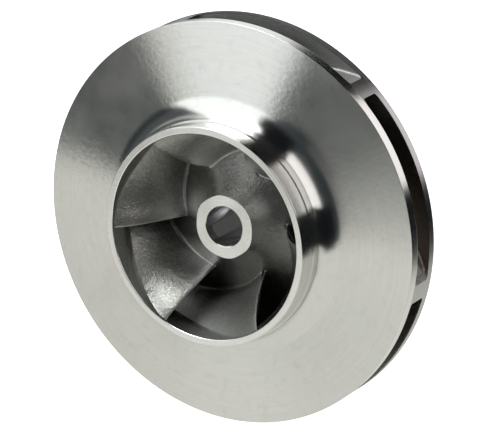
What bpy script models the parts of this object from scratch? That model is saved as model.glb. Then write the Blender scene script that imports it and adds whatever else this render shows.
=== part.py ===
"""Closed impeller of a water pump, one stainless casting turned on the outside.

The pump shaft runs along Z. The suction eye opens towards +Z, and the impeller
lies on the rear end of its hub, so that the origin is the centre of that face.
Every length is in metres and every angle in degrees until it is used.
"""
import math

import bmesh
import bpy
import numpy as np

# Discharge rim, from the rear to the front
OUTER_RADIUS = 0.120
REAR_BOSS_HEIGHT = 0.012
BACK_RIM = 0.0052
OUTLET_WIDTH = 0.0145
FRONT_RIM = 0.0066
EDGE_BREAK = 0.0003

# Front shroud: a cone outside, a steeper cone inside
FACE_SLOPE = 3.5
PASSAGE_SLOPE = 7.0

# Suction neck with its turned wear land
THROAT_RADIUS = 0.0610
THROAT_ARC = 0.0186
LAND_RADIUS = 0.0651
LAND_LENGTH = 0.0118
SHOULDER_RADIUS = 0.0658
LIP_ABOVE_RIM = 0.0273
LIP_BREAK = 0.0004
NECK_FILLET = 0.0144
NECK_FILLET_CENTRE = 0.0783
NECK_JOINT_RADIUS = 0.0800

# Hub
NOSE_ABOVE_RIM = 0.0038
NOSE_RADIUS = 0.0184
NOSE_DECAY = 0.01825
BORE_RADIUS = 0.0120
BORE_CHAMFER = 0.0005
HUB_JOINT_RADIUS = 0.0360
REAR_BOSS_RADIUS = 0.0240
REAR_BOSS_FILLET = 0.0040
KEYWAY_WIDTH = 0.0080
KEYWAY_FLOOR = 0.0153
KEYWAY_STOP = 0.0060

# Vanes: twisted, swept back against the direction of rotation
VANE_COUNT = 6
VANE_WRAP = 135.2
INLET_HUB_RADIUS = 0.0338
INLET_ANGLE_HUB = 27.0
INLET_ANGLE_SHROUD = 18.0
OUTLET_ANGLE = 24.0
INLET_BELOW_LIP = 0.0015
INLET_BULGE = 0.0048
VANE_THICKNESS = 0.0046
NOSE_THICKNESS = 0.0018
TAPER_SHARE = 0.22
NOSE_SHARE = 0.012

# Clearance that keeps neighbouring solids apart
GAP = 0.0003

# Fineness of the solids
TURNED_STEPS = 72
ARC_STEPS = 8
VANE_LENGTH_STEPS = 26
VANE_HEIGHT_STEPS = 6

# Heights that follow from the sizes above
BACK_FACE = REAR_BOSS_HEIGHT
BACK_PASSAGE = BACK_FACE + BACK_RIM
FRONT_PASSAGE = BACK_PASSAGE + OUTLET_WIDTH
FRONT_EDGE = FRONT_PASSAGE + FRONT_RIM
NOSE_FACE = FRONT_EDGE + NOSE_ABOVE_RIM
LIP_FACE = FRONT_EDGE + LIP_ABOVE_RIM

CAST_STEEL = ("cast_steel", (0.30, 0.30, 0.29), 0.55)
TURNED_STEEL = ("turned_steel", (0.62, 0.62, 0.60), 0.28)


def clear_scene():
    for thing in list(bpy.data.objects):
        bpy.data.objects.remove(thing, do_unlink=True)


def steel(finish):
    name, colour, roughness = finish
    found = bpy.data.materials.get(name)
    if found:
        return found
    made = bpy.data.materials.new(name)
    made.use_nodes = True
    shader = made.node_tree.nodes["Principled BSDF"]
    shader.inputs["Base Color"].default_value = (*colour, 1.0)
    shader.inputs["Metallic"].default_value = 1.0
    shader.inputs["Roughness"].default_value = roughness
    return made


def add_object(name, mesh, finish):
    """Puts a mesh in the scene under its part name, smooth but for its real edges."""
    made = bpy.data.objects.new(name, mesh)
    bpy.context.collection.objects.link(made)
    mesh.materials.append(steel(finish))
    mesh.shade_smooth()
    mesh.set_sharp_from_angle(angle=math.radians(25))
    return made


def arc(centre, radius, start, end, steps=ARC_STEPS):
    """Points (r, z) on a circle of the section, from one angle to another."""
    turns = np.radians(np.linspace(start, end, steps + 1))
    return [(centre[0] + radius * math.cos(t), centre[1] + radius * math.sin(t)) for t in turns]


def turned(name, section, finish):
    """Turns a closed section of (r, z) points round the shaft axis."""
    mesh = bpy.data.meshes.new(name)
    shape = bmesh.new()
    points = [shape.verts.new((r, 0.0, z)) for r, z in section]
    edges = [shape.edges.new((a, b)) for a, b in zip(points, points[1:] + points[:1])]
    bmesh.ops.spin(
        shape,
        geom=points + edges,
        cent=(0.0, 0.0, 0.0),
        axis=(0.0, 0.0, 1.0),
        angle=math.tau,
        steps=TURNED_STEPS,
        use_merge=True,
    )
    bmesh.ops.remove_doubles(shape, verts=shape.verts, dist=1e-6)
    bmesh.ops.recalc_face_normals(shape, faces=shape.faces)
    shape.to_mesh(mesh)
    shape.free()
    return add_object(name, mesh, finish)


def face_height(r):
    """Height of the front shroud's outer cone."""
    return FRONT_EDGE + (OUTER_RADIUS - r) * math.tan(math.radians(FACE_SLOPE))


def passage_height(r):
    """Height of the front shroud's inner cone."""
    return FRONT_PASSAGE + (OUTER_RADIUS - r) * math.tan(math.radians(PASSAGE_SLOPE))


def hub_height(r):
    """The hub dies away exponentially from its nose to the back shroud."""
    return BACK_PASSAGE + (NOSE_FACE - BACK_PASSAGE) * np.exp(-(r - NOSE_RADIUS) / NOSE_DECAY)


def throat_arc_centre():
    """Centre of the arc that is tangent to the throat and to the inner cone."""
    r = THROAT_RADIUS + THROAT_ARC
    return r, passage_height(r) + THROAT_ARC / math.cos(math.radians(PASSAGE_SLOPE))


def neck_fillet_centre():
    """Centre of the outer fillet, one radius above the outer cone."""
    r = NECK_FILLET_CENTRE
    return r, face_height(r) + NECK_FILLET / math.cos(math.radians(FACE_SLOPE))


def hub_line(shift=0.0, steps=400):
    """The vane's hub side in the section, lifted off the surface by shift."""
    r = np.linspace(INLET_HUB_RADIUS, OUTER_RADIUS, steps)
    z = hub_height(r)
    slope = np.gradient(z, r)
    return np.stack([r, z + shift * np.sqrt(1 + slope**2)], axis=1)


def shroud_line(shift=0.0):
    """The vane's shroud side: down the throat, round its arc and out along the cone."""
    centre_r, centre_z = throat_arc_centre()
    top = [(THROAT_RADIUS - shift, LIP_FACE - INLET_BELOW_LIP)]
    bend = arc((centre_r, centre_z), THROAT_ARC + shift, 180, 270 - PASSAGE_SLOPE, 40)
    end = [(OUTER_RADIUS, passage_height(OUTER_RADIUS) - shift / math.cos(math.radians(PASSAGE_SLOPE)))]
    return np.array(top + bend + end)


def along(line, shares):
    """Points at given shares of a line's own length, and that length."""
    steps = np.hypot(*np.diff(line, axis=0).T)
    run = np.concatenate([[0.0], np.cumsum(steps)])
    at = shares * run[-1]
    return np.stack([np.interp(at, run, line[:, 0]), np.interp(at, run, line[:, 1])], axis=-1), run[-1]


def wrap(share, length, inlet_radius, inlet_angle):
    """Angle swept so far, a cubic whose end slopes are set by the vane angles."""
    full = math.radians(VANE_WRAP)
    first = length / (inlet_radius * math.tan(math.radians(inlet_angle)))
    last = length / (OUTER_RADIUS * math.tan(math.radians(OUTLET_ANGLE)))
    s = share
    return full * (3 * s**2 - 2 * s**3) + first * (s - 2 * s**2 + s**3) + last * (s**3 - s**2)


def vane_grid(start_angle):
    """Both faces of one vane, as two arrays of points [along the vane, hub to shroud]."""
    share = np.linspace(0.0, 1.0, VANE_LENGTH_STEPS + 1) ** 1.35
    level = np.linspace(0.0, 1.0, VANE_HEIGHT_STEPS + 1)
    hub, hub_length = along(hub_line(GAP), share)
    shroud, shroud_length = along(shroud_line(GAP), share)
    s = share[:, None]
    t = level[None, :]
    r = hub[:, None, 0] * (1 - t) + shroud[:, None, 0] * t
    z = hub[:, None, 1] * (1 - t) + shroud[:, None, 1] * t
    z = z + INLET_BULGE * 4 * t * (1 - t) * (1 - s) ** 3
    swept = (1 - t) * wrap(s, hub_length, INLET_HUB_RADIUS, INLET_ANGLE_HUB)
    swept = swept + t * wrap(s, shroud_length, THROAT_RADIUS, INLET_ANGLE_SHROUD)
    run = np.hypot(np.gradient(r, share, axis=0), np.gradient(z, share, axis=0))
    turn = r * np.gradient(swept, share, axis=0)
    sine = run / np.hypot(run, turn)
    taper = np.clip(s / TAPER_SHARE, 0, 1)
    thick = NOSE_THICKNESS + (VANE_THICKNESS - NOSE_THICKNESS) * (2 * taper - taper**2)
    blunt = np.sqrt(1 - (1 - np.clip(s / NOSE_SHARE, 0, 1)) ** 2)
    half = thick * blunt / (2 * r * sine)
    middle = math.radians(start_angle) - swept
    faces = []
    for side in (1, -1):
        angle = middle + side * half
        faces.append(np.stack([r * np.cos(angle), r * np.sin(angle), z], axis=-1))
    return faces


def vane(name, start_angle):
    """Sews the two faces of a vane into one closed solid."""
    first, second = vane_grid(start_angle)
    rows, columns = first.shape[:2]
    mesh = bpy.data.meshes.new(name)
    shape = bmesh.new()
    nose = [shape.verts.new(p) for p in first[0]]
    front = [nose] + [[shape.verts.new(p) for p in row] for row in first[1:]]
    back = [nose] + [[shape.verts.new(p) for p in row] for row in second[1:]]
    for i in range(rows - 1):
        for j in range(columns - 1):
            shape.faces.new((front[i][j], front[i + 1][j], front[i + 1][j + 1], front[i][j + 1]))
            shape.faces.new((back[i][j], back[i][j + 1], back[i + 1][j + 1], back[i + 1][j]))
        for j in (0, columns - 1):
            rim = [front[i][j], front[i + 1][j], back[i + 1][j], back[i][j]]
            shape.faces.new(rim[:3] if i == 0 else rim)
    for j in range(columns - 1):
        shape.faces.new((front[-1][j], back[-1][j], back[-1][j + 1], front[-1][j + 1]))
    bmesh.ops.triangulate(shape, faces=shape.faces)
    bmesh.ops.recalc_face_normals(shape, faces=shape.faces)
    shape.to_mesh(mesh)
    shape.free()
    return add_object(name, mesh, CAST_STEEL)


def front_shroud():
    """The disc in front of the vanes, from the neck out to the rim."""
    inner = NECK_JOINT_RADIUS + GAP / 2
    outside = OUTER_RADIUS - EDGE_BREAK
    section = [
        (inner, passage_height(inner)),
        (outside, passage_height(outside)),
        (OUTER_RADIUS, FRONT_PASSAGE + EDGE_BREAK),
        (OUTER_RADIUS, FRONT_EDGE - EDGE_BREAK),
        (outside, face_height(outside)),
        (inner, face_height(inner)),
    ]
    return turned("front_shroud", section, TURNED_STEEL)


def eye_neck():
    """The suction neck: throat, lip, wear land, shoulder and the fillet to the disc."""
    outer = NECK_JOINT_RADIUS - GAP / 2
    throat_r, throat_z = throat_arc_centre()
    fillet_r, fillet_z = neck_fillet_centre()
    land_end = LIP_FACE - LAND_LENGTH
    start = 180 + math.degrees(math.acos((fillet_r - SHOULDER_RADIUS) / NECK_FILLET))
    inside_end = 360 - math.degrees(math.acos(min(1.0, (outer - throat_r) / THROAT_ARC)))
    section = [(outer, passage_height(outer))]
    section += arc((throat_r, throat_z), THROAT_ARC, 270 - PASSAGE_SLOPE, 180)
    section += [
        (THROAT_RADIUS, LIP_FACE - LIP_BREAK),
        (THROAT_RADIUS + LIP_BREAK, LIP_FACE),
        (LAND_RADIUS - LIP_BREAK, LIP_FACE),
        (LAND_RADIUS, LIP_FACE - LIP_BREAK),
        (LAND_RADIUS, land_end),
        (SHOULDER_RADIUS, land_end - 0.5 * (SHOULDER_RADIUS - LAND_RADIUS)),
    ]
    section += arc((fillet_r, fillet_z), NECK_FILLET, start, 270 - FACE_SLOPE)
    section += [(outer, face_height(outer))]
    return turned("eye_neck", section, TURNED_STEEL)


def back_shroud():
    """The disc behind the vanes, thick at the hub and thin at the rim."""
    inner = HUB_JOINT_RADIUS + GAP / 2
    outside = OUTER_RADIUS - EDGE_BREAK
    radii = np.linspace(math.sqrt(inner), math.sqrt(outside), 12) ** 2
    section = [(inner, BACK_FACE), (outside, BACK_FACE), (OUTER_RADIUS, BACK_FACE + EDGE_BREAK)]
    section += [(OUTER_RADIUS, hub_height(OUTER_RADIUS) - EDGE_BREAK)]
    section += [(r, hub_height(r)) for r in radii[::-1]]
    return turned("back_shroud", section, TURNED_STEEL)


def keyway_cutter():
    """A bar that cuts the keyway from the rear and stops short of the nose."""
    start = -0.005
    stop = NOSE_FACE - KEYWAY_STOP
    mesh = bpy.data.meshes.new("keyway_cutter")
    shape = bmesh.new()
    bmesh.ops.create_cube(shape, size=1.0)
    bmesh.ops.scale(shape, vec=(KEYWAY_WIDTH, KEYWAY_FLOOR, stop - start), verts=shape.verts)
    bmesh.ops.translate(shape, vec=(0.0, KEYWAY_FLOOR / 2, (stop + start) / 2), verts=shape.verts)
    shape.to_mesh(mesh)
    shape.free()
    cutter = bpy.data.objects.new("keyway_cutter", mesh)
    bpy.context.collection.objects.link(cutter)
    cutter.display_type = "WIRE"
    cutter.hide_render = True
    return cutter


def hub():
    """Nose, bore with its keyway, and the rear boss that the impeller lies on."""
    outer = HUB_JOINT_RADIUS - GAP / 2
    radii = np.linspace(outer, NOSE_RADIUS, 10)
    boss_fillet = (REAR_BOSS_RADIUS + REAR_BOSS_FILLET, BACK_FACE - REAR_BOSS_FILLET)
    section = [(r, hub_height(r)) for r in radii]
    section += [
        (BORE_RADIUS + BORE_CHAMFER, NOSE_FACE),
        (BORE_RADIUS, NOSE_FACE - BORE_CHAMFER),
        (BORE_RADIUS, BORE_CHAMFER),
        (BORE_RADIUS + BORE_CHAMFER, 0.0),
        (REAR_BOSS_RADIUS - BORE_CHAMFER, 0.0),
        (REAR_BOSS_RADIUS, BORE_CHAMFER),
    ]
    section += arc(boss_fillet, REAR_BOSS_FILLET, 180, 90, 5)
    section += [(outer, BACK_FACE)]
    made = turned("hub", section, TURNED_STEEL)
    cut = made.modifiers.new("keyway", "BOOLEAN")
    cut.operation = "DIFFERENCE"
    cut.solver = "EXACT"
    cut.object = keyway_cutter()
    return made


def main():
    clear_scene()
    front_shroud()
    eye_neck()
    back_shroud()
    hub()
    for number in range(VANE_COUNT):
        vane(f"vane_{number + 1}", number * 360 / VANE_COUNT)


main()
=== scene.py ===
# %% [markdown]
# # A closed pump impeller, turned and polished
#
# The impeller is one stainless casting. A front cover with a short suction neck
# and a back plate with a hub hold six twisted vanes between them. After casting,
# most of the outside is turned on a lathe, and the inside stays as it came from
# the mould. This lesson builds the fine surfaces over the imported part, gives each
# finish its own material, and lights them.
#
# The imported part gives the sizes, so the lesson starts by loading it.

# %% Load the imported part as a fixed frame
import math

import bpy
import numpy as np
from mathutils import Matrix, Vector


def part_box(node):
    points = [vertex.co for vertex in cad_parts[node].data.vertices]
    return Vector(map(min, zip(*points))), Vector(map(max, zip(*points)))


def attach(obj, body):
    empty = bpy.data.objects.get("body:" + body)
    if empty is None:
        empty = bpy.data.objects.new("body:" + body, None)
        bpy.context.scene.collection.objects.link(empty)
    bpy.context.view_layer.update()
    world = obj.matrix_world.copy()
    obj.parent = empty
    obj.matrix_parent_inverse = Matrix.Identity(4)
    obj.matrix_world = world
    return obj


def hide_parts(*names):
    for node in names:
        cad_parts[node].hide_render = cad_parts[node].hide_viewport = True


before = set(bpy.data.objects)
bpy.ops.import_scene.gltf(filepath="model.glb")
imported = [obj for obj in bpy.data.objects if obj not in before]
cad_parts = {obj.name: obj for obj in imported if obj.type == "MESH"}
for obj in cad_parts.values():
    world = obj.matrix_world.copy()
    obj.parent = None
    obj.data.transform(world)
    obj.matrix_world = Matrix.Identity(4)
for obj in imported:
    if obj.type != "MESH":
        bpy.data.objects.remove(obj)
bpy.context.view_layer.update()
print("nodes:", sorted(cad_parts))

# %% [markdown]
# ## Sizes
#
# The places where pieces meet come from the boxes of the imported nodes, so the
# fine surfaces can't drift from the solid ones.

# %% Sizes read from the frame
front_low, front_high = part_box("front_shroud")
back_low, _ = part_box("back_shroud")
_, hub_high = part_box("hub")
_, neck_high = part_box("eye_neck")

RIM_RADIUS = front_high.x
FRONT_PASSAGE = front_low.z
BACK_FACE = back_low.z
NOSE_FACE = hub_high.z
LIP_FACE = neck_high.z
print(f"rim radius {RIM_RADIUS * 1000:.1f} mm, lip at {LIP_FACE * 1000:.1f} mm")

# %% [markdown]
# A box can't tell how thick the rims are or how wide the bore is, so those sizes
# are given here, in metres. A size that only one piece needs comes with the piece.

# %% Sizes that several pieces share
FRONT_RIM = 0.0066
BACK_RIM = 0.0052
EDGE_ROUND = 0.0003
THROAT_RADIUS = 0.0610
BORE_RADIUS = 0.0120

FRONT_EDGE = FRONT_PASSAGE + FRONT_RIM
BACK_PASSAGE = BACK_FACE + BACK_RIM
print(f"passage {(FRONT_PASSAGE - BACK_PASSAGE) * 1000:.1f} mm wide at the rim")

# %% [markdown]
# ## Sections and how they are turned
#
# A turned part is a section carried round an axis. The Screw modifier does that
# to any curve. Here the points are worked out instead, because the keyway and the
# uneven ring round the bore need another radius at each angle.
#
# The section is a closed line of points (r, z), and each stretch of it has one of
# three finishes: as cast, turned and polished, or only faced off. Straight
# stretches need only their ends. Round ones are arcs, and a rounded corner is the
# arc that touches both of its sides.
#
# Smooth shading bends the light across a whole face when the face beside it
# turns away. So each rounded corner brings one more point on either side, which
# keeps the bend close to the arc and the long flat beyond it truly flat.

# %% Arcs and rounded corners of a section
CAST, TURNED, FACED = 0, 1, 2
GUARD = 0.0005


def arc(centre, radius, start, end, steps):
    """Circle about a centre: r = centre + radius cos(t), z = centre + radius sin(t)."""
    t = np.radians(np.linspace(start, end, steps + 1))
    return np.stack([centre[0] + radius * np.cos(t), centre[1] + radius * np.sin(t)], axis=1)


def corner(before, at, after, radius, steps=4):
    """The arc that touches both sides of a corner, with a guard point beyond each end.

    Its centre is on the line that halves the corner, radius / sin(half the angle)
    from the tip, and it runs the short way from one side to the other."""
    at = np.array(at, float)
    first = np.array(before, float) - at
    second = np.array(after, float) - at
    first /= np.hypot(*first)
    second /= np.hypot(*second)
    half = math.acos(np.dot(first, second)) / 2
    middle = (first + second) / np.hypot(*(first + second))
    centre = at + middle * radius / math.sin(half)
    from_start = at + first * radius / math.tan(half) - centre
    from_end = at + second * radius / math.tan(half) - centre
    start = math.degrees(math.atan2(from_start[1], from_start[0]))
    turn = math.degrees(math.atan2(from_end[1], from_end[0])) - start
    turn = (turn + 180) % 360 - 180
    beyond = radius / math.tan(half) + min(radius / 2, GUARD)
    around = arc(centre, radius, start, start + turn, steps)
    return np.vstack([at + first * beyond, around, at + second * beyond])


def section_of(*stretches):
    """Joins (finish, points) stretches: point i's finish holds up to point i + 1."""
    points = np.vstack([p for _, p in stretches])
    finish = np.concatenate([np.full(len(p), f) for f, p in stretches])
    return points, finish


# %% [markdown]
# A grid of points becomes a mesh by joining each point to its neighbours. Both
# ways round the grid close on themselves here: along the section, and round the
# shaft. The sign of the volume says whether the faces point outwards, and if
# they don't, the order of each face's corners is turned round.
#
# Faces are shaded smoothly except where they meet at a real edge. A change of
# finish is such an edge too, even a blunt one: where a lathe has cut a casting,
# the two surfaces never flow into each other.

# %% From a grid of points to a closed mesh
def closed_grid(rows, columns):
    """Quads between the points of a grid whose last row and column meet the first."""
    i, j = np.meshgrid(np.arange(rows), np.arange(columns), indexing="ij")
    below, right = (i + 1) % rows, (j + 1) % columns
    quads = [i * columns + j, i * columns + right, below * columns + right, below * columns + j]
    return np.stack(quads, axis=-1).reshape(-1, 4)


def volume_of(points, quads):
    """Signed volume: a sixth of the sum of a . (b x c) over the triangles."""
    a, b, c, d = (points[quads[:, k]] for k in range(4))
    return (np.sum(a * np.cross(b, c)) + np.sum(a * np.cross(c, d))) / 6


def sharpen_borders(mesh, finish):
    """Also marks each edge sharp whose two faces differ in finish."""
    edges = np.zeros(len(mesh.loops), np.int32)
    mesh.loops.foreach_get("edge_index", edges)
    corner_finish = np.repeat(finish, 4)
    lowest = np.full(len(mesh.edges), FACED)
    highest = np.full(len(mesh.edges), CAST)
    np.minimum.at(lowest, edges, corner_finish)
    np.maximum.at(highest, edges, corner_finish)
    sharp = np.zeros(len(mesh.edges), bool)
    mesh.edges.foreach_get("use_edge_sharp", sharp)
    mesh.edges.foreach_set("use_edge_sharp", sharp | (lowest != highest))


def add_piece(name, points, finish, sharp_angle=20):
    """Makes a closed mesh from a grid of points, with one finish for each quad."""
    rows, columns = points.shape[:2]
    flat = points.reshape(-1, 3)
    quads = closed_grid(rows, columns)
    volume = volume_of(flat, quads)
    if volume < 0:
        quads = quads[:, ::-1]
    mesh = bpy.data.meshes.new(name)
    mesh.from_pydata(flat, [], quads)
    for number in (CAST, TURNED, FACED):
        mesh.materials.append(MATERIALS[number])
    finish = np.broadcast_to(finish, (rows, columns)).ravel()
    mesh.polygons.foreach_set("material_index", finish)
    mesh.shade_smooth()
    mesh.set_sharp_from_angle(angle=math.radians(sharp_angle))
    sharpen_borders(mesh, finish)
    piece = bpy.data.objects.new(name, mesh)
    bpy.context.scene.collection.objects.link(piece)
    print(f"{name}: {len(quads)} quads, {abs(volume) * 1e6:.1f} cm3")
    return piece


def turned_points(section, angles):
    """Carries a section round the shaft: x = r cos(a), y = r sin(a), z stays."""
    r = section[:, 0, None]
    z = section[:, 1, None]
    return np.stack([r * np.cos(angles), r * np.sin(angles), z + 0 * angles], axis=-1)


# %% [markdown]
# ## Nodes
#
# Materials are built from nodes, and a few helpers keep each of them readable:
# one adds any node, and the others add the kinds that are used most.

# %% Node helpers
def fill(tree, node, inputs):
    """Links each input to another node's output, or sets it to a plain value."""
    for key, value in inputs.items():
        if isinstance(value, bpy.types.NodeSocket):
            tree.links.new(value, node.inputs[key])
        else:
            node.inputs[key].default_value = value


def add_node(tree, kind, inputs=None, **settings):
    """Adds one node, sets its properties, and fills its inputs."""
    node = tree.nodes.new(kind)
    for key, value in settings.items():
        setattr(node, key, value)
    fill(tree, node, inputs or {})
    return node


def math_node(tree, operation, *values):
    node = add_node(tree, "ShaderNodeMath", dict(enumerate(values)), operation=operation)
    return node.outputs[0]


def product(tree, first, *others):
    for other in others:
        first = math_node(tree, "MULTIPLY", first, other)
    return first


def vector_node(tree, operation, *values, output=0):
    node = add_node(tree, "ShaderNodeVectorMath", dict(enumerate(values)), operation=operation)
    return node.outputs[output]


def ranged(tree, value, low, high, to_low=0.0, to_high=1.0, smooth=False):
    """The value, carried from one range into another and held at both ends."""
    kind = "SMOOTHSTEP" if smooth else "LINEAR"
    ends = {"From Min": low, "From Max": high, "To Min": to_low, "To Max": to_high}
    node = add_node(tree, "ShaderNodeMapRange", {"Value": value, **ends}, interpolation_type=kind)
    return node.outputs["Result"]


def noise_of(tree, vector, scale, detail=3.0, roughness=0.55):
    inputs = {"Vector": vector, "Scale": scale, "Detail": detail, "Roughness": roughness}
    return add_node(tree, "ShaderNodeTexNoise", inputs).outputs["Fac"]


def mixed(tree, share, first, second):
    """A mix of two colours, which are the node's sockets 6 and 7 and its output 2."""
    node = add_node(tree, "ShaderNodeMix", {0: share, 6: first, 7: second}, data_type="RGBA")
    return node.outputs[2]


def bumped(tree, height, strength, distance):
    inputs = {"Height": height, "Strength": strength, "Distance": distance}
    return add_node(tree, "ShaderNodeBump", inputs).outputs["Normal"]


def new_material(name):
    """A new material with its node tree and its shader node."""
    material = bpy.data.materials.new(name)
    material.use_nodes = True
    return material, material.node_tree, material.node_tree.nodes["Principled BSDF"]


# %% [markdown]
# Every finish of this piece depends on where a point lies as seen from the shaft.
# So one more helper turns object coordinates into the numbers of a lathe hand.

# %% Where a point lies as seen from the shaft
def round_the_shaft(tree):
    """Place, spoke (the level direction from the shaft), radius and height of a point."""
    place = add_node(tree, "ShaderNodeTexCoord").outputs["Object"]
    flat = vector_node(tree, "MULTIPLY", place, (1.0, 1.0, 0.0))
    spoke = vector_node(tree, "NORMALIZE", flat)
    radius = vector_node(tree, "LENGTH", flat, output="Value")
    height = add_node(tree, "ShaderNodeSeparateXYZ", {"Vector": place}).outputs["Z"]
    return place, spoke, radius, height


# %% [markdown]
# ## The turned finish
#
# A lathe tool leaves fine rings, so the metal is smooth along a ring and rough
# across it. Light from a lamp is then smeared across the rings, which gives the
# fans that spread from the shaft. Fans could be painted on, but they would stay
# where they are when the lamp or the view moves. An anisotropic shader makes true
# ones, once its tangent runs along the rings. The tangent is the shaft axis
# crossed with the point's own spoke, so it needs no UV map.
#
# The ring marks are a noise that changes fast from ring to ring and slowly along
# them. The face also isn't perfectly true. That unevenness is a very shallow
# bump, and it is what makes the edges of the fans ragged.

# %% What the lathe leaves on a surface
def lathe_marks(tree):
    """Place, radius, tangent along the rings, ring marks 0 to 1, and an uneven normal."""
    place, spoke, radius, height = round_the_shaft(tree)
    outwards = math_node(tree, "SUBTRACT", radius, height)
    across = add_node(tree, "ShaderNodeCombineXYZ", {"Z": outwards}).outputs[0]

    def marks(along_scale, across_scale, detail):
        slow = vector_node(tree, "MULTIPLY", spoke, (along_scale, along_scale, 0.0))
        fast = vector_node(tree, "MULTIPLY", across, (0.0, 0.0, across_scale))
        return noise_of(tree, vector_node(tree, "ADD", slow, fast), 1.0, detail)

    normal = bumped(tree, marks(30.0, 420.0, 3.0), 1.0, 0.000012)
    tangent = vector_node(tree, "CROSS_PRODUCT", (0.0, 0.0, 1.0), spoke)
    return place, radius, tangent, marks(2.0, 1100.0, 4.0), normal


def as_lathed(tree, shader, tangent, normal, anisotropic):
    """Metal whose gloss is smeared across the rings, a quarter turn from the tangent."""
    smeared = {"Anisotropic": anisotropic, "Anisotropic Rotation": 0.25, "Tangent": tangent}
    fill(tree, shader, {"Metallic": 1.0, "Normal": normal, **smeared})


# %% [markdown]
# The outside is turned and then polished with cloth along the rings. The metal
# is bright and almost colourless, a little cooler here and a little warmer
# there, with thin darker rings and faint smears where it was wiped. The bore is
# darker, which is painted shade inside the hole, with streaks along the shaft
# from the tool that cut the keyway.

# %% Turned and polished stainless steel
COOL_POLISH, WARM_POLISH = (0.70, 0.715, 0.69, 1), (0.735, 0.72, 0.70, 1)
DULL_POLISH = (0.60, 0.61, 0.59, 1)
DARK_BORE, LIGHT_BORE = (0.40, 0.40, 0.41, 1), (0.62, 0.62, 0.62, 1)


def turned_steel():
    material, tree, shader = new_material("turned_steel")
    place, radius, tangent, rings, normal = lathe_marks(tree)
    tint = ranged(tree, noise_of(tree, place, 16.0, 2.0), 0.35, 0.65)
    colour = mixed(tree, tint, COOL_POLISH, WARM_POLISH)
    colour = mixed(tree, ranged(tree, rings, 0.3, 0.7, 0.0, 0.35), colour, DULL_POLISH)
    smears = ranged(tree, noise_of(tree, place, 170.0, 5.0, 0.68), 0.52, 0.72, 0.0, 0.5)
    colour = mixed(tree, smears, colour, DULL_POLISH)
    lengthwise = vector_node(tree, "MULTIPLY", place, (420.0, 420.0, 30.0))
    streaks = ranged(tree, noise_of(tree, lengthwise, 1.0, 1.0), 0.3, 0.7)
    # Painted shade: the bore's wall is darker than the outside, streaked along the shaft.
    shaded_bore = mixed(tree, streaks, DARK_BORE, LIGHT_BORE)
    in_bore = ranged(tree, radius, BORE_RADIUS + 0.0002, BORE_RADIUS + 0.0003, 1.0, 0.0)
    colour = mixed(tree, in_bore, colour, shaded_bore)
    roughness = ranged(tree, noise_of(tree, place, 34.0, 4.0), 0.3, 0.7, 0.130, 0.170)
    fill(tree, shader, {"Base Color": colour, "Roughness": roughness})
    as_lathed(tree, shader, tangent, normal, 1.0)
    return material


# %% [markdown]
# The lip, the ring round the bore, the back rim and the ends of the vanes were
# only faced off and never polished. They are paler, and the fans hardly show on
# them: the same shader with less of a direction. The cutter was fresh at the
# hub and blunt out at the rim, where the surface is rougher and darker.

# %% Faced stainless steel
DARK_FACED, LIGHT_FACED = (0.88, 0.88, 0.855, 1), (0.95, 0.95, 0.925, 1)
FACED_RING = (0.70, 0.70, 0.68, 1)
FACED_AT_RIM = (0.42, 0.42, 0.415, 1)


def faced_steel():
    material, tree, shader = new_material("faced_steel")
    place, radius, tangent, rings, normal = lathe_marks(tree)
    blotch = ranged(tree, noise_of(tree, place, 90.0, 3.0), 0.3, 0.7)
    colour = mixed(tree, blotch, DARK_FACED, LIGHT_FACED)
    colour = mixed(tree, ranged(tree, rings, 0.3, 0.7, 0.0, 0.30), colour, FACED_RING)
    at_rim = ranged(tree, radius, RIM_RADIUS - 0.002, RIM_RADIUS - 0.001)
    colour = mixed(tree, at_rim, colour, FACED_AT_RIM)
    roughness = ranged(tree, radius, 0.066, RIM_RADIUS, 0.18, 0.24)
    fill(tree, shader, {"Base Color": colour, "Roughness": roughness})
    as_lathed(tree, shader, tangent, normal, 0.6)
    return material


# %% [markdown]
# ## The cast finish
#
# The blast that cleaned the casting came straight in through the eye and, from
# one side, through the mouths of the passages. The mouths on the blasted side are
# the roughest of all, as is the vane face in the eye that stood square in the
# blast. The hub, the throat and those mouths are also painted brighter than the
# rest, which is painted light; on the hub it has streaks that run outwards and is
# weaker on one side.
#
# Such marks could be painted by hand on a UV map. Here each is a product of
# ranges, 1 in its own place and 0 elsewhere: of the radius, of the height, and of
# how much the spoke points to one side, which is a dot product.

# %% Painted light and the marks of the blast
LIT_BLASTED_SIDE, STRUCK_SIDE = (0.82, -0.57, 0.0), (-0.966, 0.259, 0.0)
HUB_SHADE_SIDE = (-0.82, -0.57, 0.0)
THROAT_AND_MOUTH_LIGHT, HUB_LIGHT = (0.55, 0.555, 0.54, 1), (0.92, 0.92, 0.90, 1)


def towards(tree, spoke, side, low, high, to_low=0.0, to_high=1.0):
    """A range of the spoke's dot product with a side: about 1 there, -1 opposite."""
    leaning = vector_node(tree, "DOT_PRODUCT", spoke, side, output="Value")
    return ranged(tree, leaning, low, high, to_low, to_high)


# The outermost mouths on one side: painted brighter, which is painted light, and rougher from the
# blast.
def lit_blasted_mouths(tree, spoke, radius):
    outermost = ranged(tree, radius, 0.100, 0.116)
    return product(tree, outermost, towards(tree, spoke, LIT_BLASTED_SIDE, 0.60, 0.86))


def blasted_face(tree, spoke, radius, height):
    above_plate = ranged(tree, height, 0.024, 0.034)
    off_hub = ranged(tree, radius, 0.030, 0.040)
    struck = towards(tree, spoke, STRUCK_SIDE, 0.80, 0.93)
    return product(tree, struck, above_plate, off_hub)


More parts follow.
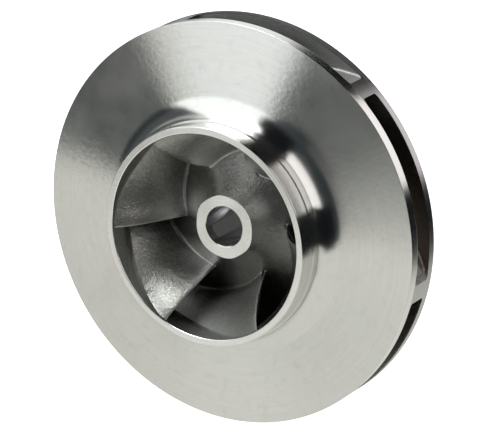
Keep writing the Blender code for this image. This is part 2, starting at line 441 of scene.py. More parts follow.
def with_painted_light(tree, colour, place, spoke, radius, mouth_light_and_blast):
    """The colour with painted light on the hub, the throat and the blasted mouths."""
    around = vector_node(tree, "MULTIPLY", spoke, (38.0, 38.0, 0.0))
    outwards = vector_node(tree, "MULTIPLY", place, (60.0, 60.0, 160.0))
    streaks = noise_of(tree, vector_node(tree, "ADD", around, outwards), 1.0, 4.0, 0.6)
    streaks = ranged(tree, streaks, 0.3, 0.7, 0.55, 1.0)
    # Painted light: the hub is painted brighter near the nose, with streaks, and less so on one
    # side.
    near_nose = ranged(tree, radius, 0.022, 0.045, 1.0, 0.0)
    hub_shade = towards(tree, spoke, HUB_SHADE_SIDE, 0.1, 1.0, 1.0, 0.42)
    colour = mixed(tree, product(tree, streaks, near_nose, hub_shade), colour, HUB_LIGHT)
    # Painted light: the throat and the mouths on one side are painted brighter.
    throat_light = ranged(tree, radius, 0.050, 0.061, 0.0, 0.26)
    share = math_node(tree, "MULTIPLY_ADD", mouth_light_and_blast, 0.24, throat_light)
    return mixed(tree, share, colour, THROAT_AND_MOUTH_LIGHT)


# %% [markdown]
# Two marks are darker. The skin on the back rim was not reached by the blast: it
# stayed dark, and it is darker still on one side, which is painted shade. And in
# the mouths on one side the plate is a darker brown.

# %% Dark skin with painted shade, and brown plate in the mouths
BROWN_SIDE, SKIN_SHADE_SIDE = (-0.50, -0.866, 0.0), (0.97, -0.26, 0.0)
SKIN, SHADED_SKIN = (0.115, 0.12, 0.12, 1), (0.060, 0.063, 0.063, 1)
BROWN_PLATE = (0.150, 0.115, 0.090, 1)


def darkened(tree, colour, spoke, radius, height):
    browner = towards(tree, spoke, BROWN_SIDE, 0.66, 0.92, 0.0, 0.80)
    outermost = ranged(tree, radius, 0.090, 0.105)
    on_plate = ranged(tree, height, BACK_PASSAGE + 0.0008, BACK_PASSAGE + 0.0020, 1.0, 0.0)
    colour = mixed(tree, product(tree, browner, outermost, on_plate), colour, BROWN_PLATE)
    at_rim = ranged(tree, radius, RIM_RADIUS - 0.0006, RIM_RADIUS - 0.0003)
    below_vanes = ranged(tree, height, BACK_PASSAGE, BACK_PASSAGE + 0.0002, 1.0, 0.0)
    # Painted shade: the skin is darker still towards one side.
    skin = mixed(tree, towards(tree, spoke, SKIN_SHADE_SIDE, 0.86, 0.96), SKIN, SHADED_SKIN)
    return mixed(tree, product(tree, at_rim, below_vanes), colour, skin)


# %% [markdown]
# Under these marks the steel keeps the skin of the mould: a dark, slightly olive
# grey, grained like fine sandpaper and glittering where a lamp strikes it. The
# grain could be displaced, but it is only a tenth of a millimetre deep, so a bump
# is enough. A fine noise gives the grain, a coarser one the small lumps of a sand
# mould, and a slow one lets the grey wander.

# %% Cast stainless steel
DARK_CAST, LIGHT_CAST = (0.190, 0.193, 0.174, 1), (0.255, 0.257, 0.240, 1)
GLITTER = (0.62, 0.62, 0.60, 1)


def cast_steel():
    material, tree, shader = new_material("cast_steel")
    place, spoke, radius, height = round_the_shaft(tree)
    grain = noise_of(tree, place, 1250.0, 2.0, 0.6)
    lumps = noise_of(tree, place, 330.0, 3.0, 0.55)
    wander = ranged(tree, noise_of(tree, place, 60.0, 4.0, 0.6), 0.3, 0.7)
    mouth_light_and_blast = lit_blasted_mouths(tree, spoke, radius)
    at_face = blasted_face(tree, spoke, radius, height)

    colour = mixed(tree, wander, DARK_CAST, LIGHT_CAST)
    # Painted light on the hub, the throat and the mouths on one side.
    colour = with_painted_light(tree, colour, place, spoke, radius, mouth_light_and_blast)
    colour = mixed(tree, ranged(tree, grain, 0.54, 0.72, 0.0, 0.5), colour, GLITTER)
    colour = darkened(tree, colour, spoke, radius, height)

    plain = ranged(tree, grain, 0.3, 0.7, 0.38, 0.27)
    blasted = math_node(tree, "MAXIMUM", mouth_light_and_blast, at_face)
    roughness = math_node(tree, "MULTIPLY_ADD", blasted, 0.26, plain)
    fill(tree, shader, {"Metallic": 1.0, "Base Color": colour, "Roughness": roughness})
    relief = math_node(tree, "MULTIPLY_ADD", lumps, 1.6, grain)
    fill(tree, shader, {"Normal": bumped(tree, relief, 0.7, 0.00022)})
    return material


MATERIALS = {CAST: cast_steel(), TURNED: turned_steel(), FACED: faced_steel()}
print("materials:", [material.name for material in MATERIALS.values()])

# %% [markdown]
# ## Front cover and suction neck
#
# The front cover is a flat cone outside and a steeper one inside. It bends up
# into the suction neck: a fillet, a small shoulder, the wear land that runs in
# the pump's sealing ring, and the flat lip. It could be joined from rings and
# bevelled. As one section it has no seams, and the highlight runs unbroken from
# the disc up the fillet.

# %% Heights of the cover's two cones
FACE_SLOPE = math.radians(3.5)
PASSAGE_SLOPE = math.radians(7.0)


def face_height(r):
    """The outer cone rises towards the shaft by tan(slope) for each unit of radius."""
    return FRONT_EDGE + (RIM_RADIUS - r) * math.tan(FACE_SLOPE)


def passage_height(r):
    """The inner cone does the same with its own slope."""
    return FRONT_PASSAGE + (RIM_RADIUS - r) * math.tan(PASSAGE_SLOPE)


# %% [markdown]
# The large fillet starts where it touches the outer cone and ends where it meets
# the shoulder's cylinder. Both are angles round its centre, so they follow from
# the slope and from the two radii. The fillet mirrors half of the studio, and so
# it has many steps.

# %% Corners and fillet of the front cover
THROAT_ARC = 0.0186
LAND_RADIUS = 0.0651
LAND_LENGTH = 0.0118
SHOULDER_RADIUS = 0.0658
NECK_FILLET = 0.0144
NECK_FILLET_CENTRE = 0.0783
FILLET_STEPS = 36

rim_below = (RIM_RADIUS, FRONT_PASSAGE)
rim_above = (RIM_RADIUS, FRONT_EDGE)
throat_corner = (THROAT_RADIUS, passage_height(THROAT_RADIUS))
lip_inside = (THROAT_RADIUS, LIP_FACE)
lip_outside = (LAND_RADIUS, LIP_FACE)
land_end = (LAND_RADIUS, LIP_FACE - LAND_LENGTH)
shoulder_edge = (SHOULDER_RADIUS, LIP_FACE - LAND_LENGTH)

fillet_centre = (
    NECK_FILLET_CENTRE,
    face_height(NECK_FILLET_CENTRE) + NECK_FILLET / math.cos(FACE_SLOPE),
)
fillet_start = 270 - math.degrees(FACE_SLOPE)
fillet_end = 180 + math.degrees(math.acos((NECK_FILLET_CENTRE - SHOULDER_RADIUS) / NECK_FILLET))
fillet = arc(fillet_centre, NECK_FILLET, fillet_start, fillet_end, FILLET_STEPS)
print(f"fillet from {fillet_start:.1f} to {fillet_end:.1f} degrees round its centre")

# %% [markdown]
# The section starts at the throat's foot, goes out along the passage, up the
# rim, in along the face, up the neck and over the lip. Inside the lip the lathe
# stopped, and the throat is as cast.

# %% Section of the front cover, turned round the shaft
BEFORE_FILLET = 0.0006
LIP_ROUND, INNER_ROUND, SHOULDER_ROUND = 0.0005, 0.0004, 0.0002
THROAT_STEPS, TURNS = 28, 288

down_the_face = np.array([math.cos(FACE_SLOPE), -math.sin(FACE_SLOPE)])
face_end = fillet[0] + BEFORE_FILLET * down_the_face
outer_round = corner(land_end, lip_outside, lip_inside, LIP_ROUND)
inner_round = corner(lip_outside, lip_inside, throat_corner, INNER_ROUND)
throat = corner(lip_inside, throat_corner, rim_below, THROAT_ARC, THROAT_STEPS)

cover_section, cover_finish = section_of(
    (TURNED, corner(throat_corner, rim_below, rim_above, EDGE_ROUND)),
    (TURNED, corner(rim_below, rim_above, fillet[0], EDGE_ROUND)),
    (TURNED, np.vstack([face_end, fillet])),
    (TURNED, corner(fillet[-1], shoulder_edge, land_end, SHOULDER_ROUND)),
    (TURNED, np.array([land_end])),
    (TURNED, outer_round[:-2]),
    (FACED, np.vstack([outer_round[-2:], inner_round[:-2]])),
    (CAST, np.vstack([inner_round[-2:], throat])),
)
even_angles = np.linspace(0, math.tau, TURNS, endpoint=False)
cover_points = turned_points(cover_section, even_angles)
front_cover = add_piece("front_cover", cover_points, cover_finish[:, None])
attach(front_cover, "root")
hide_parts("front_shroud", "eye_neck")

# %% [markdown]
# ## Back plate, hub and bore
#
# The hub flows out into the back plate in one soft curve, steep at the nose and
# flat at the rim. It could be drawn by hand. An exponential has just that shape
# and needs only two numbers.

# %% Curve of the hub
NOSE_RADIUS = 0.0184
NOSE_DECAY = 0.01825


def hub_height(r):
    """Dies away from the nose to the plate: plate + rise * exp(-(r - nose) / decay)."""
    return BACK_PASSAGE + (NOSE_FACE - BACK_PASSAGE) * np.exp(-(r - NOSE_RADIUS) / NOSE_DECAY)


print(f"hub {hub_height(0.03) * 1000:.1f} mm high at a radius of 30 mm")

# %% [markdown]
# The bore is round but for its keyway. A Boolean would cut the keyway out, but it
# leaves long thin faces that shade badly. Seen from the axis, a flat floor at
# distance f is f / cos(a) away, and a side wall at half the width w is
# w / sin(a) away, so the keyway is only another radius for each angle. It ends
# before the nose in an arc, as a round cutter leaves it.

# %% Radius of the keyed bore
KEYWAY_WIDTH = 0.0080
KEYWAY_FLOOR = 0.0153
KEYWAY_STOP = 0.0060
KEYWAY_ANGLE = math.radians(90)


def keyed_radius(angles, share, plain):
    """Radius of the bore wall, with that share of the keyway's depth cut into it."""
    off = np.abs((angles - KEYWAY_ANGLE + math.pi) % math.tau - math.pi)
    floor = KEYWAY_FLOOR / np.maximum(np.cos(off), 0.01)
    side = KEYWAY_WIDTH / 2 / np.maximum(np.sin(off), 0.01)
    slot = np.where(off < math.pi / 2, np.minimum(floor, side), 0.0)
    return plain + share * np.maximum(slot - plain, 0.0)


# %% [markdown]
# The section goes in along the hub's curve, down the bore, out under the rear
# boss and back up the rim. The curve's points are closest together at the nose,
# where it bends most.

# %% Section of the back plate and hub
BORE_CHAMFER, CHAMFER_DEPTH = 0.0005, 0.0002
REAR_BOSS_RADIUS, REAR_BOSS_FILLET, REAR_BOSS_ROUND = 0.0240, 0.0040, 0.0005
CURVE_POINTS, CURVE_CROWDING = 49, 1.6

shares = np.linspace(1, 0, CURVE_POINTS) ** CURVE_CROWDING
hub_radii = NOSE_RADIUS + (RIM_RADIUS - EDGE_ROUND - NOSE_RADIUS) * shares
hub_curve = np.stack([hub_radii, hub_height(hub_radii)], axis=1)
back_rim_above = (RIM_RADIUS, BACK_PASSAGE)
back_rim_below = (RIM_RADIUS, BACK_FACE)
boss_foot = (REAR_BOSS_RADIUS, 0)
boss_top = (REAR_BOSS_RADIUS, BACK_FACE)
boss_fillet_centre = (REAR_BOSS_RADIUS + REAR_BOSS_FILLET, BACK_FACE - REAR_BOSS_FILLET)

keyway_end = NOSE_FACE - KEYWAY_STOP
runout = KEYWAY_FLOOR - BORE_RADIUS
runout_steps = np.linspace(0, 1, 7)
bore = np.array(
    [(BORE_RADIUS + BORE_CHAMFER, NOSE_FACE), (BORE_RADIUS, NOSE_FACE - CHAMFER_DEPTH)]
    + [(BORE_RADIUS, keyway_end - runout * (1 - math.sqrt(1 - x * x))) for x in runout_steps]
    + [(BORE_RADIUS, CHAMFER_DEPTH), (BORE_RADIUS + BORE_CHAMFER, 0.0)]
)
keyway_share = np.concatenate([[0, 0], runout_steps, [1, 1]])

plate_section, plate_finish = section_of(
    (CAST, hub_curve),
    (TURNED, bore),
    (TURNED, corner((BORE_RADIUS, 0), boss_foot, boss_top, REAR_BOSS_ROUND)),
    (TURNED, arc(boss_fillet_centre, REAR_BOSS_FILLET, 180, 90, 10)),
    (FACED, corner(boss_top, back_rim_below, back_rim_above, EDGE_ROUND)),
    (FACED, corner(back_rim_below, back_rim_above, (0, BACK_PASSAGE), EDGE_ROUND)),
)
plate_finish[len(hub_curve) - 1] = FACED
print("points in the section:", len(plate_section))

# %% [markdown]
# Where the lathe faced the nose, the rough casting round it leaves a ring that
# isn't quite round and sits off centre. So a few slow waves are added to the
# hub's radius there, and they die away with the distance from the nose. Columns
# of the grid fall on the corners of the keyway, which keeps them sharp.
#
# The back plate's rim is only faced off. On one side the lathe didn't reach the
# full depth of the casting, and there the rim has kept its cast skin.

# %% Uneven nose, keyway and rim of the finished back plate
NOSE_GROWTH = 0.0003
NOSE_WAVES = ((1, 0.00039, 152), (4, 0.00012, 13), (6, 0.00018, -28), (8, 0.00010, -21))
NOSE_FADE = 0.0045
SKIN_FROM, SKIN_TO = math.radians(285), math.radians(352)
RIM_ROWS = 10

floor_corner = math.atan(KEYWAY_WIDTH / 2 / KEYWAY_FLOOR)
mouth_corner = math.asin(KEYWAY_WIDTH / 2 / BORE_RADIUS)
beside = np.array([-mouth_corner, -floor_corner, floor_corner, mouth_corner])
keyed_angles = np.sort(np.concatenate([even_angles + math.tau / TURNS / 3, KEYWAY_ANGLE + beside]))

plate_points = turned_points(plate_section, keyed_angles)
waves = NOSE_GROWTH + sum(
    size * np.cos(count * (keyed_angles - math.radians(crest)))
    for count, size, crest in NOSE_WAVES
)
near_nose = np.exp(-(hub_radii - NOSE_RADIUS) / NOSE_FADE)[:, None]
spokes = np.stack([np.cos(keyed_angles), np.sin(keyed_angles)], axis=-1)
plate_points[: len(hub_radii), :, :2] += (near_nose * waves)[:, :, None] * spokes

bore_rows = slice(len(hub_radii), len(hub_radii) + len(bore))
radii = keyed_radius(keyed_angles, keyway_share[:, None], bore[:, 0, None])
plate_points[bore_rows, :, :2] = radii[:, :, None] * spokes

finish = np.repeat(plate_finish[:, None], len(keyed_angles), axis=1)
with_skin = (keyed_angles > SKIN_FROM) & (keyed_angles < SKIN_TO)
finish[-RIM_ROWS:] = np.where(with_skin, CAST, FACED)
back_plate = add_piece("back_plate", plate_points, finish)
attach(back_plate, "root")
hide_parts("back_shroud", "hub")

# %% [markdown]
# ## Vanes
#
# Each vane stands between two lines: one on the hub and plate, one in the throat
# and along the cover. At every share of the way outwards a straight line joins
# the two, and the whole is turned back round the shaft by an angle that grows
# with the share. A vane could also be bent by hand from a flat sheet, but then
# its two long edges would have to be fitted to both walls.
#
# The lines run on a little past the rim, because the vane is cast too long and
# then cut off with the discs. Each line keeps its running length, its points and
# the normals of the wall that it lies on, which all point from the hub towards
# the cover. Lengths are counted as shares of the way to the rim.

# %% The two lines that a vane stands between
INLET_HUB_RADIUS = 0.0338
INLET_BELOW_LIP = 0.0015
OVERRUN = 0.008


def line_with_normals(points):
    """Running length, points, normals (travel turned left), and the length at the rim."""
    steps = np.gradient(points, axis=0)
    steps /= np.hypot(steps[:, 0], steps[:, 1])[:, None]
    run = np.concatenate([[0.0], np.cumsum(np.hypot(*np.diff(points, axis=0).T))])
    to_rim = np.interp(RIM_RADIUS, points[:, 0], run)
    return run, points, np.stack([-steps[:, 1], steps[:, 0]], axis=1), to_rim


def at_share(line, share):
    """Point and normal at a share of the line's length to the rim."""
    run, points, normals, to_rim = line
    look_up = [np.interp(share * to_rim, run, column) for column in (*points.T, *normals.T)]
    return np.stack(look_up[:2], axis=-1), np.stack(look_up[2:], axis=-1)


line_radii = np.linspace(INLET_HUB_RADIUS, RIM_RADIUS + OVERRUN, 420)
hub_line = line_with_normals(np.stack([line_radii, hub_height(line_radii)], axis=1))

throat_top = np.array([THROAT_RADIUS, LIP_FACE - INLET_BELOW_LIP])
throat_bend = corner(lip_inside, throat_corner, rim_below, THROAT_ARC, 120)
throat_fall = np.linspace(throat_top, throat_bend[0], 20)[:-1]
past_rim = np.array([RIM_RADIUS + OVERRUN, passage_height(RIM_RADIUS + OVERRUN)])
cone_end = np.linspace(throat_bend[-1], past_rim, 80)[1:]
shroud_line = line_with_normals(np.vstack([throat_fall, throat_bend, cone_end]))
print(f"lines to the rim: {hub_line[-1] * 1000:.0f} and {shroud_line[-1] * 1000:.0f} mm long")

# %% [markdown]
# Water meets the vane at one angle and leaves it at another. Both fix how fast
# the vane turns round the shaft for each step outwards. A cubic is the simplest
# curve with a given slope at both ends and a given turn in all.

# %% How far a vane has swept round the shaft
VANE_WRAP = math.radians(135.2)
OUTLET_ANGLE = math.radians(24.0)


def wrap(share, length, radius, angle):
    """Angle swept so far: a cubic from 0 to the full wrap with both end slopes given."""
    first = length / (radius * math.tan(angle))
    last = length / (RIM_RADIUS * math.tan(OUTLET_ANGLE))
    s = share
    turned = VANE_WRAP * (3 * s**2 - 2 * s**3)
    return turned + first * (s - 2 * s**2 + s**3) + last * (s**3 - s**2)


# %% [markdown]
# The vane's rows run from the hub to the cover. Near each wall they crowd
# together, because there the vane swells into its root with a small fillet, as
# every casting does. A fillet of radius f stands f - sqrt(f^2 - (f - d)^2) proud
# at distance d from the wall. A Bevel can't make it, because the vane and the
# walls are pieces of their own.

# %% Rows and columns of a vane
ROOT_DEPTH, ROOT_SPREAD = 0.0006, 0.0002
NOSE_SHARE = 0.012
FACE_COLUMNS, FACE_CROWDING = 64, 1.2


def root_rows(height, fillet, middle_rows=10, fillet_rows=6):
    """Heights above the hub of all rows, and how far each row swells at either wall.

    Rows in a fillet are at f (1 - cos t), so they are closest together at the wall."""
    t = np.linspace(0, math.pi / 2, fillet_rows + 1)[:, None]
    low = fillet * (1 - np.cos(t))
    swell = fillet - np.sqrt(fillet**2 - (fillet - low) ** 2)
    buried = -np.ones_like(fillet)[None] * ROOT_DEPTH
    low = np.concatenate([buried, low])
    swell = np.concatenate([swell[:1] + ROOT_SPREAD, swell])
    share = np.linspace(0, 1, middle_rows + 2)[1:-1, None]
    middle = fillet + (height - 2 * fillet) * share
    rows = np.concatenate([low, middle, height - low[::-1]])
    nothing = np.zeros_like(middle)
    at_hub = np.concatenate([swell, nothing, 0 * swell])
    at_cover = np.concatenate([0 * swell, nothing, swell[::-1]])
    return rows, at_hub, at_cover


def column_shares(last):
    """Shares of the way outwards, close together round the leading edge."""
    nose = NOSE_SHARE * (1 - np.cos(np.linspace(0, math.pi / 2, 6)))
    spread = np.linspace(0, 1, FACE_COLUMNS)[1:] ** FACE_CROWDING
    return np.concatenate([nose, NOSE_SHARE + (last - NOSE_SHARE) * spread])


# %% [markdown]
# The rows are the vane's two faces joined at the nose: in along one face, round
# the leading edge, and out again along the other. The vane is thin at the nose
# and thickens over the first fifth of its length.
#
# The swelling of a root is pushed out along the wall, square to the vane's
# outline, so it also runs round the leading edge. On the hub it is fuller there,
# and each leading edge ends in a small bright knob.

# %% One vane as a grid
INLET_ANGLE_HUB = math.radians(27.0)
INLET_ANGLE_SHROUD = math.radians(18.0)
INLET_BULGE = 0.0048
NOSE_THICKNESS, VANE_THICKNESS, TAPER_SHARE = 0.0018, 0.0046, 0.22
ROOT_FILLET, ROOT_AT_NOSE, ROOT_SHARE = 0.0016, 0.40, 0.10
KNOB, KNOB_SHARE = 1.6, 0.03


def round_the_nose(one, other):
    """From the outer end of one face to the nose and out again along the other."""
    return np.concatenate([one[:, ::-1], other[:, 1:]], axis=1)


def on_both(values):
    return round_the_nose(values, values)


def pushed_along(wall_normal, points, angle, swell):
    """Moves points along a wall: square to its normal and to the vane's outline."""
    lean, rise = (on_both(part[None, :]) for part in wall_normal.T)
    wall = np.stack([lean * np.cos(angle), lean * np.sin(angle), rise + 0 * angle], axis=-1)
    push = np.cross(np.gradient(points, axis=1), wall)
    push /= np.linalg.norm(push, axis=-1, keepdims=True)
    return push * on_both(swell)[:, :, None]


def vane_points(start_angle, share):
    """Grid [hub to cover, round the vane]. Half the thickness is an angle of
    thickness / (2 r sine), where the sine is of the angle at which the vane leans."""
    hub, hub_normal = at_share(hub_line, share)
    shroud, shroud_normal = at_share(shroud_line, share)
    height = np.hypot(*(shroud - hub).T)
    growth = np.clip(share / ROOT_SHARE, 0, 1)
    fillet = ROOT_FILLET * (ROOT_AT_NOSE + (1 - ROOT_AT_NOSE) * growth)
    rows, hub_swell, shroud_swell = root_rows(height, fillet)
    t = rows / height
    s = share[None, :]
    r = hub[:, 0] * (1 - t) + shroud[:, 0] * t
    z = hub[:, 1] * (1 - t) + shroud[:, 1] * t + INLET_BULGE * 4 * t * (1 - t) * (1 - s) ** 3
    swept = (1 - t) * wrap(s, hub_line[-1], INLET_HUB_RADIUS, INLET_ANGLE_HUB)
    swept = swept + t * wrap(s, shroud_line[-1], THROAT_RADIUS, INLET_ANGLE_SHROUD)
    run = np.hypot(np.gradient(r, share, axis=1), np.gradient(z, share, axis=1))
    sine = run / np.hypot(run, r * np.gradient(swept, share, axis=1))
    taper = np.clip(s / TAPER_SHARE, 0, 1)
    thick = NOSE_THICKNESS + (VANE_THICKNESS - NOSE_THICKNESS) * (2 * taper - taper**2)
    blunt = np.sqrt(1 - (1 - np.clip(s / NOSE_SHARE, 0, 1)) ** 2)
    half = thick * blunt / (2 * r * sine)
    middle = start_angle - swept
    angle = round_the_nose(middle + half, middle - half)
    r, z = on_both(r), on_both(z)
    points = np.stack([r * np.cos(angle), r * np.sin(angle), z], axis=-1)
    hub_swell = hub_swell * (1 + KNOB * np.clip(1 - s / KNOB_SHARE, 0, 1))
    at_hub = pushed_along(hub_normal, points, angle, hub_swell)
    at_cover = pushed_along(shroud_normal, points, angle, shroud_swell)
    return points + at_hub + at_cover


# %% [markdown]
# The outer end of a vane is cut off flush with the rim. A root that has swelled
# meets the rim's cylinder sooner or later than the middle of the vane, so the
# meeting place is looked up for each row, and the row's points slide along it
# until the last one lies there. New columns on the cylinder then close the end.
# Both ends of the grid are drawn together onto the vane's middle line, inside
# the walls, so the skin closes.

# %% Flush outer end and closed roots
def onto_rim(points):
    """Moves points straight out or in onto the rim's cylinder."""
    radius = np.hypot(points[..., 0], points[..., 1])[..., None]
    return np.concatenate([points[..., :2] * RIM_RADIUS / radius, points[..., 2:]], axis=-1)


def cut_at_rim(face, share, wanted):
    """Each row's points, taken at shares that are stretched to end on the rim."""
    radius = np.hypot(face[..., 0], face[..., 1])
    outer = share > 0.6
    rows = []
    for row, row_radius in zip(face, radius):
        end = np.interp(RIM_RADIUS, row_radius[outer], share[outer])
        place = wanted + (end - 1) * wanted**4
        rows.append(np.stack([np.interp(place, share, axis) for axis in row.T], axis=-1))
    rows = np.array(rows)
    rows[:, -1] = onto_rim(rows[:, -1])
    return rows


def closed_vane(points, share, end_columns=6):
    """Cuts both faces at the rim and closes the outer end between them."""
    wanted = column_shares(1.0)
    one = cut_at_rim(points[:, : len(share)][:, ::-1], share, wanted)
    other = cut_at_rim(points[:, len(share) - 1:], share, wanted)
    faces = round_the_nose(one, other)
    across = np.linspace(0, 1, end_columns + 1)[1:-1, None]
    between = onto_rim(faces[:, -1:] + (faces[:, :1] - faces[:, -1:]) * across)
    finish = np.full(faces.shape[1] + between.shape[1], CAST)
    finish[faces.shape[1] - 1:] = FACED
    return np.concatenate([faces, between], axis=1), finish, faces.shape[1]


def close_roots(points, face_columns):
    """Adds a row at each end where the two faces meet on the middle line."""
    caps = []
    for row in (points[0], points[-1]):
        faces = row[:face_columns]
        middle = (faces + faces[::-1]) / 2
        end = np.repeat((row[:1] + faces[-1:]) / 2, len(row) - face_columns, axis=0)
        caps.append(np.concatenate([middle, end])[None])
    return np.concatenate([caps[0], points, caps[1]])


# %% [markdown]
# The six vanes are the same grid, started a sixth of a turn further round each
# time. Each is a piece of its own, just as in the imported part.

# %% Six vanes
VANE_COUNT, CAST_LENGTH = 6, 1.06

long_shares = column_shares(CAST_LENGTH)
for number in range(VANE_COUNT):
    grid = vane_points(number * math.tau / VANE_COUNT, long_shares)
    skin, finish, face_columns = closed_vane(grid, long_shares)
    skin = close_roots(skin, face_columns)
    vane = add_piece(f"vane_skin_{number + 1}", skin, finish[None, :], sharp_angle=35)
    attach(vane, "root")
    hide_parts(f"vane_{number + 1}")

# %% [markdown]
# ## Camera
#
# The photograph looks at the flat side from 55 degrees above it, and the camera
# is rolled so that the suction eye looks to the left. The camera is placed by
# the point it aims at, its distance and three angles, because each of them
# changes the picture in one plain way.

# %% Camera at the photograph's viewing angle
AIM = Vector((0.0002, -0.0122, 0.0298))
VIEW_DISTANCE = 1.898
VIEW_AZIMUTH = math.radians(-90.627)
VIEW_ELEVATION = math.radians(55.147)
VIEW_ROLL = math.radians(117.89)
FOCAL_IN_WIDTHS = 6.6

to_camera = Vector((
    math.cos(VIEW_ELEVATION) * math.cos(VIEW_AZIMUTH),
    math.cos(VIEW_ELEVATION) * math.sin(VIEW_AZIMUTH),
    math.sin(VIEW_ELEVATION),
))
level_right = (-to_camera).cross(Vector((0, 0, 1))).normalized()
level_up = level_right.cross(-to_camera)
up = math.cos(VIEW_ROLL) * level_up + math.sin(VIEW_ROLL) * level_right
right = math.cos(VIEW_ROLL) * level_right - math.sin(VIEW_ROLL) * level_up

camera_data = bpy.data.cameras.new("camera")
camera_data.sensor_width = 36.0
camera_data.lens = FOCAL_IN_WIDTHS * camera_data.sensor_width
camera = bpy.data.objects.new("camera", camera_data)
bpy.context.scene.collection.objects.link(camera)
axes = Matrix((right, up, to_camera)).transposed().to_4x4()
camera.matrix_world = Matrix.Translation(AIM + to_camera * VIEW_DISTANCE) @ axes
bpy.context.scene.camera = camera
print("camera at", [round(x, 3) for x in camera.location])

# %% [markdown]
# ## Floor
#
# The floor is a plain pale sheet, lit from below as a light table is, so that
# it shows no shadow. The polished metal doesn't mirror it: the studio round the
# impeller gives all that the metal shows. Seen from below the sheet lets the
# view through, so that the back of the impeller can be looked at too.

# %% Light table
def staged_sheet(name, half_side, height, material):
    """A square sheet that belongs to the stage and not to the impeller."""
    corners = [(x * half_side, y * half_side, 0.0) for x, y in ((-1, -1), (1, -1), (1, 1), (-1, 1))]
    mesh = bpy.data.meshes.new(name)
    mesh.from_pydata(corners, [], [(0, 1, 2, 3)])
    mesh.materials.append(material)
    sheet = bpy.data.objects.new(name, mesh)
    sheet.location.z = height
    bpy.context.scene.collection.objects.link(sheet)
    print(f"{name}: {2 * half_side} m wide")
    return sheet


table_paint, table_tree, table_shader = new_material("light_table")
glow = {"Emission Color": (1, 1, 1, 1), "Emission Strength": 1.0}
fill(table_tree, table_shader, {"Base Color": (0.8, 0.8, 0.8, 1), **glow})
seen_from_below = add_node(table_tree, "ShaderNodeNewGeometry").outputs["Backfacing"]
clear = add_node(table_tree, "ShaderNodeBsdfTransparent").outputs[0]
choice = {0: seen_from_below, 1: table_shader.outputs[0], 2: clear}
either = add_node(table_tree, "ShaderNodeMixShader", choice).outputs[0]
table_tree.links.new(either, table_tree.nodes["Material Output"].inputs["Surface"])
floor = staged_sheet("floor", 3.0, -0.0004, table_paint)
floor.visible_glossy = False
floor.visible_diffuse = False

# %% [markdown]
# Without more care the bore would be filled with light from the table. A small
# dark pad under the hub keeps it out: it is painted shade, the shadow that the
# impeller throws on the table. One bright patch to one side of it glows as a
# small lamp, and the wall beside the keyway mirrors it. The camera itself
# doesn't see the pad.

# %% Dark pad of painted shade under the bore
PATCH = (-0.0080, 0.0065, 0.0)
SHADE_GLOW, PATCH_GLOW = (0.085, 0.085, 0.085, 1), (1.3, 1.3, 1.3, 1)

pad_paint, pad_tree, pad_shader = new_material("painted_shade_pad")
pad_place = add_node(pad_tree, "ShaderNodeTexCoord").outputs["Object"]
from_patch = vector_node(pad_tree, "DISTANCE", pad_place, PATCH, output="Value")
in_patch = ranged(pad_tree, from_patch, 0.0026, 0.0040, 1.0, 0.0, smooth=True)
shade_and_patch_glow = mixed(pad_tree, in_patch, SHADE_GLOW, PATCH_GLOW)
glow = {"Emission Color": shade_and_patch_glow, "Emission Strength": 1.0}
fill(pad_tree, pad_shader, {"Base Color": (0.03, 0.03, 0.03, 1), **glow})
# Painted shade: the pad stands for the impeller's shadow on the table.
pad = staged_sheet("pad", 0.015, -0.0002, pad_paint)
pad.visible_camera = False

# %% [markdown]
# ## Studio
#
# Polished metal shows nothing but its surroundings, so the surroundings are
# painted with care. Lamps and cards could stand there as objects. Painted on the
# sky they need no room, throw no shadows of their own, and can be placed by what
# they are for: every direction is given by how far it is from the direction that
# the flat face mirrors, and by which way round from it.

# %% Directions of the studio as angles
world = bpy.data.worlds.new("studio")
world.use_nodes = True
bpy.context.scene.world = world
sky = world.node_tree
sky.nodes.clear()
direction = add_node(sky, "ShaderNodeTexCoord").outputs["Generated"]


def polar_angles(pole, start):
    """Angle from the pole, and angle round the pole from the start direction."""
    pole = Vector(pole).normalized()
    start = Vector(start)
    start = (start - start.dot(pole) * pole).normalized()
    along, aside, upwards = (
        vector_node(sky, "DOT_PRODUCT", direction, tuple(axis), output="Value")
        for axis in (start, pole.cross(start), pole)
    )
    return math_node(sky, "ARCCOSINE", upwards), math_node(sky, "ARCTAN2", aside, along)


mirrored = Vector((-to_camera.x, -to_camera.y, to_camera.z))
from_mirrored, round_mirrored = polar_angles(mirrored, (1, 0, 0))
from_zenith, round_zenith = polar_angles((0, 0, 1), (1, 0, 0))
print("a level face mirrors", [round(x, 2) for x in mirrored])

# %% [markdown]
# A window or a card is a range of both angles. Its sides may lean, so the angle
# of each is given where the window begins and where it ends, and the side runs
# straight in between. Every edge is softened by its own number of degrees.

# %% A window or a card
def window(away, around, left, right, begin, end, edge=8.0, begin_edge=5.0, end_edge=8.0):
    """1 inside the window and 0 outside. All angles are given in degrees."""
    begin, end = math.radians(begin), math.radians(end)
    half_begin, half_end = math.radians(begin_edge) / 2, math.radians(end_edge) / 2
    half_edge = math.radians(edge) / 2

    def past(side):
        """How far the direction is past a leaning side: 0 before it, 1 beyond it."""
        first, last = (math.radians(x) for x in side)
        line = ranged(sky, away, begin, end, first, last)
        off = math_node(sky, "WRAP", math_node(sky, "SUBTRACT", around, line), math.pi, -math.pi)
        return ranged(sky, off, -half_edge, half_edge, smooth=True)

    begun = ranged(sky, away, begin - half_begin, begin + half_begin, smooth=True)
    ended = ranged(sky, away, end - half_end, end + half_end, 1.0, 0.0, smooth=True)
    return product(sky, past(left), math_node(sky, "SUBTRACT", 1.0, past(right)), begun, ended)


def above(*shape, **edges):
    """A window placed by the direction that the flat face mirrors."""
    return window(from_mirrored, round_mirrored, *shape, **edges)


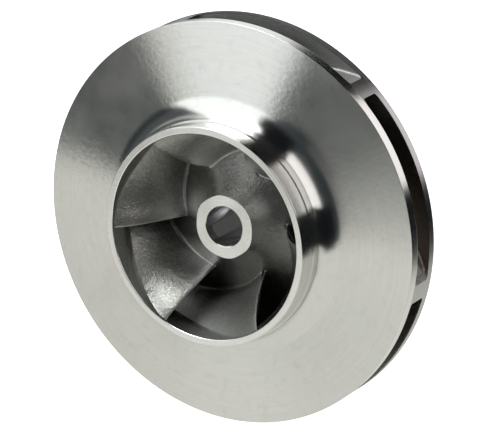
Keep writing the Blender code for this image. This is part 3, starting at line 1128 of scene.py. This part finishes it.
def compass(left, right, edge=8.0):
    """A window between two compass directions, from straight up to straight down."""
    return window(from_zenith, round_zenith, (left, left), (right, right), 0.0, 180.0, edge=edge)


# %% [markdown]
# The room is pale. A long lamp stands on one side of the impeller. On either
# side of the lamp hangs a dark card, and beyond the second card a bright window
# opens low down, with black on both sides of it. The part of the room below the
# horizon is what the upright walls mirror: the rims and the neck. It is painted
# by compass direction only.

# %% Paint of the studio, in the order in which it is laid on
PALE = (0.82, 0.815, 0.77, 1)
CARD = (0.025, 0.032, 0.035, 1)
NEAR_CARD = (0.022, 0.031, 0.034, 1)
GREY_CARD = (0.085, 0.092, 0.095, 1)
DUSK = (0.26, 0.28, 0.28, 1)
BLACK = (0.007, 0.008, 0.009, 1)
NEAR_LAMP = (1.06, 1.10, 1.10, 1)
LAMP = (1.42, 1.46, 1.46, 1)
LAMP_CORE = (9.0, 9.1, 9.1, 1)
LOW_LAMP = (1.05, 1.08, 1.08, 1)
WINDOW = (1.30, 1.25, 1.25, 1)
LOW_WINDOW = (1.28, 1.23, 1.23, 1)

upper = [
    (NEAR_CARD, above((-6, 3), (47, 50), 1, 16, edge=14, begin_edge=2)),
    (CARD, above((2, 5), (49, 53), 14, 45)),
    (GREY_CARD, above((0, 5), (52, 53), 38, 76, begin_edge=20)),
    (DUSK, above((0, 15), (53, 56), 74, 125, begin_edge=16)),
    (NEAR_CARD, above((-100, -104), (-40, -40), 1, 15, edge=46, begin_edge=2)),
    (CARD, above((-117, -120), (-40, -40), 14, 26, edge=14)),
    (CARD, above((-120, -141), (-40, -20), 24, 88, edge=6)),
    (BLACK, above((-125, -151), (-105, -112), 44, 128, edge=6, begin_edge=12)),
    (BLACK, above((-70, -64), (-45, -20), 44, 128, edge=6, begin_edge=12)),
    (WINDOW, above((-108, -113), (-70, -63), 79, 128, edge=5)),
    (NEAR_LAMP, above((-54, -57), (-16, -4), 2, 29, edge=8, begin_edge=3)),
    (LAMP, above((-57, -33), (-2, 10), 15, 106, edge=6, begin_edge=5)),
    (LAMP_CORE, above((-38, -34), (-4, 4), 81, 101, edge=16, begin_edge=12)),
]
lower = [
    (BLACK, compass(195, 241, 5)),
    (LOW_WINDOW, compass(243, 297, 5)),
    (BLACK, compass(298, 345, 5)),
    (LOW_LAMP, compass(346, 405, 6)),
    (DUSK, compass(44, 108, 12)),
]
print("windows and cards:", len(upper), "above and", len(lower), "below the horizon")

# %% [markdown]
# The sky is laid on like paint: each window covers what is already there. The
# standard view transform keeps the white of the table white.

# %% The painted sky
def painted(base, windows):
    """Lays each window's paint over what is already there."""
    colour = base
    for paint, mask in windows:
        colour = mixed(sky, mask, colour, paint)
    return colour


below = ranged(sky, from_zenith, math.radians(88), math.radians(100), smooth=True)
surroundings = mixed(sky, below, painted(PALE, upper), painted(PALE, lower))
background = add_node(sky, "ShaderNodeBackground", {"Color": surroundings, "Strength": 1.0})
add_node(sky, "ShaderNodeOutputWorld", {"Surface": background.outputs[0]})
bpy.context.scene.view_settings.view_transform = "Standard"
print("studio nodes:", len(sky.nodes))
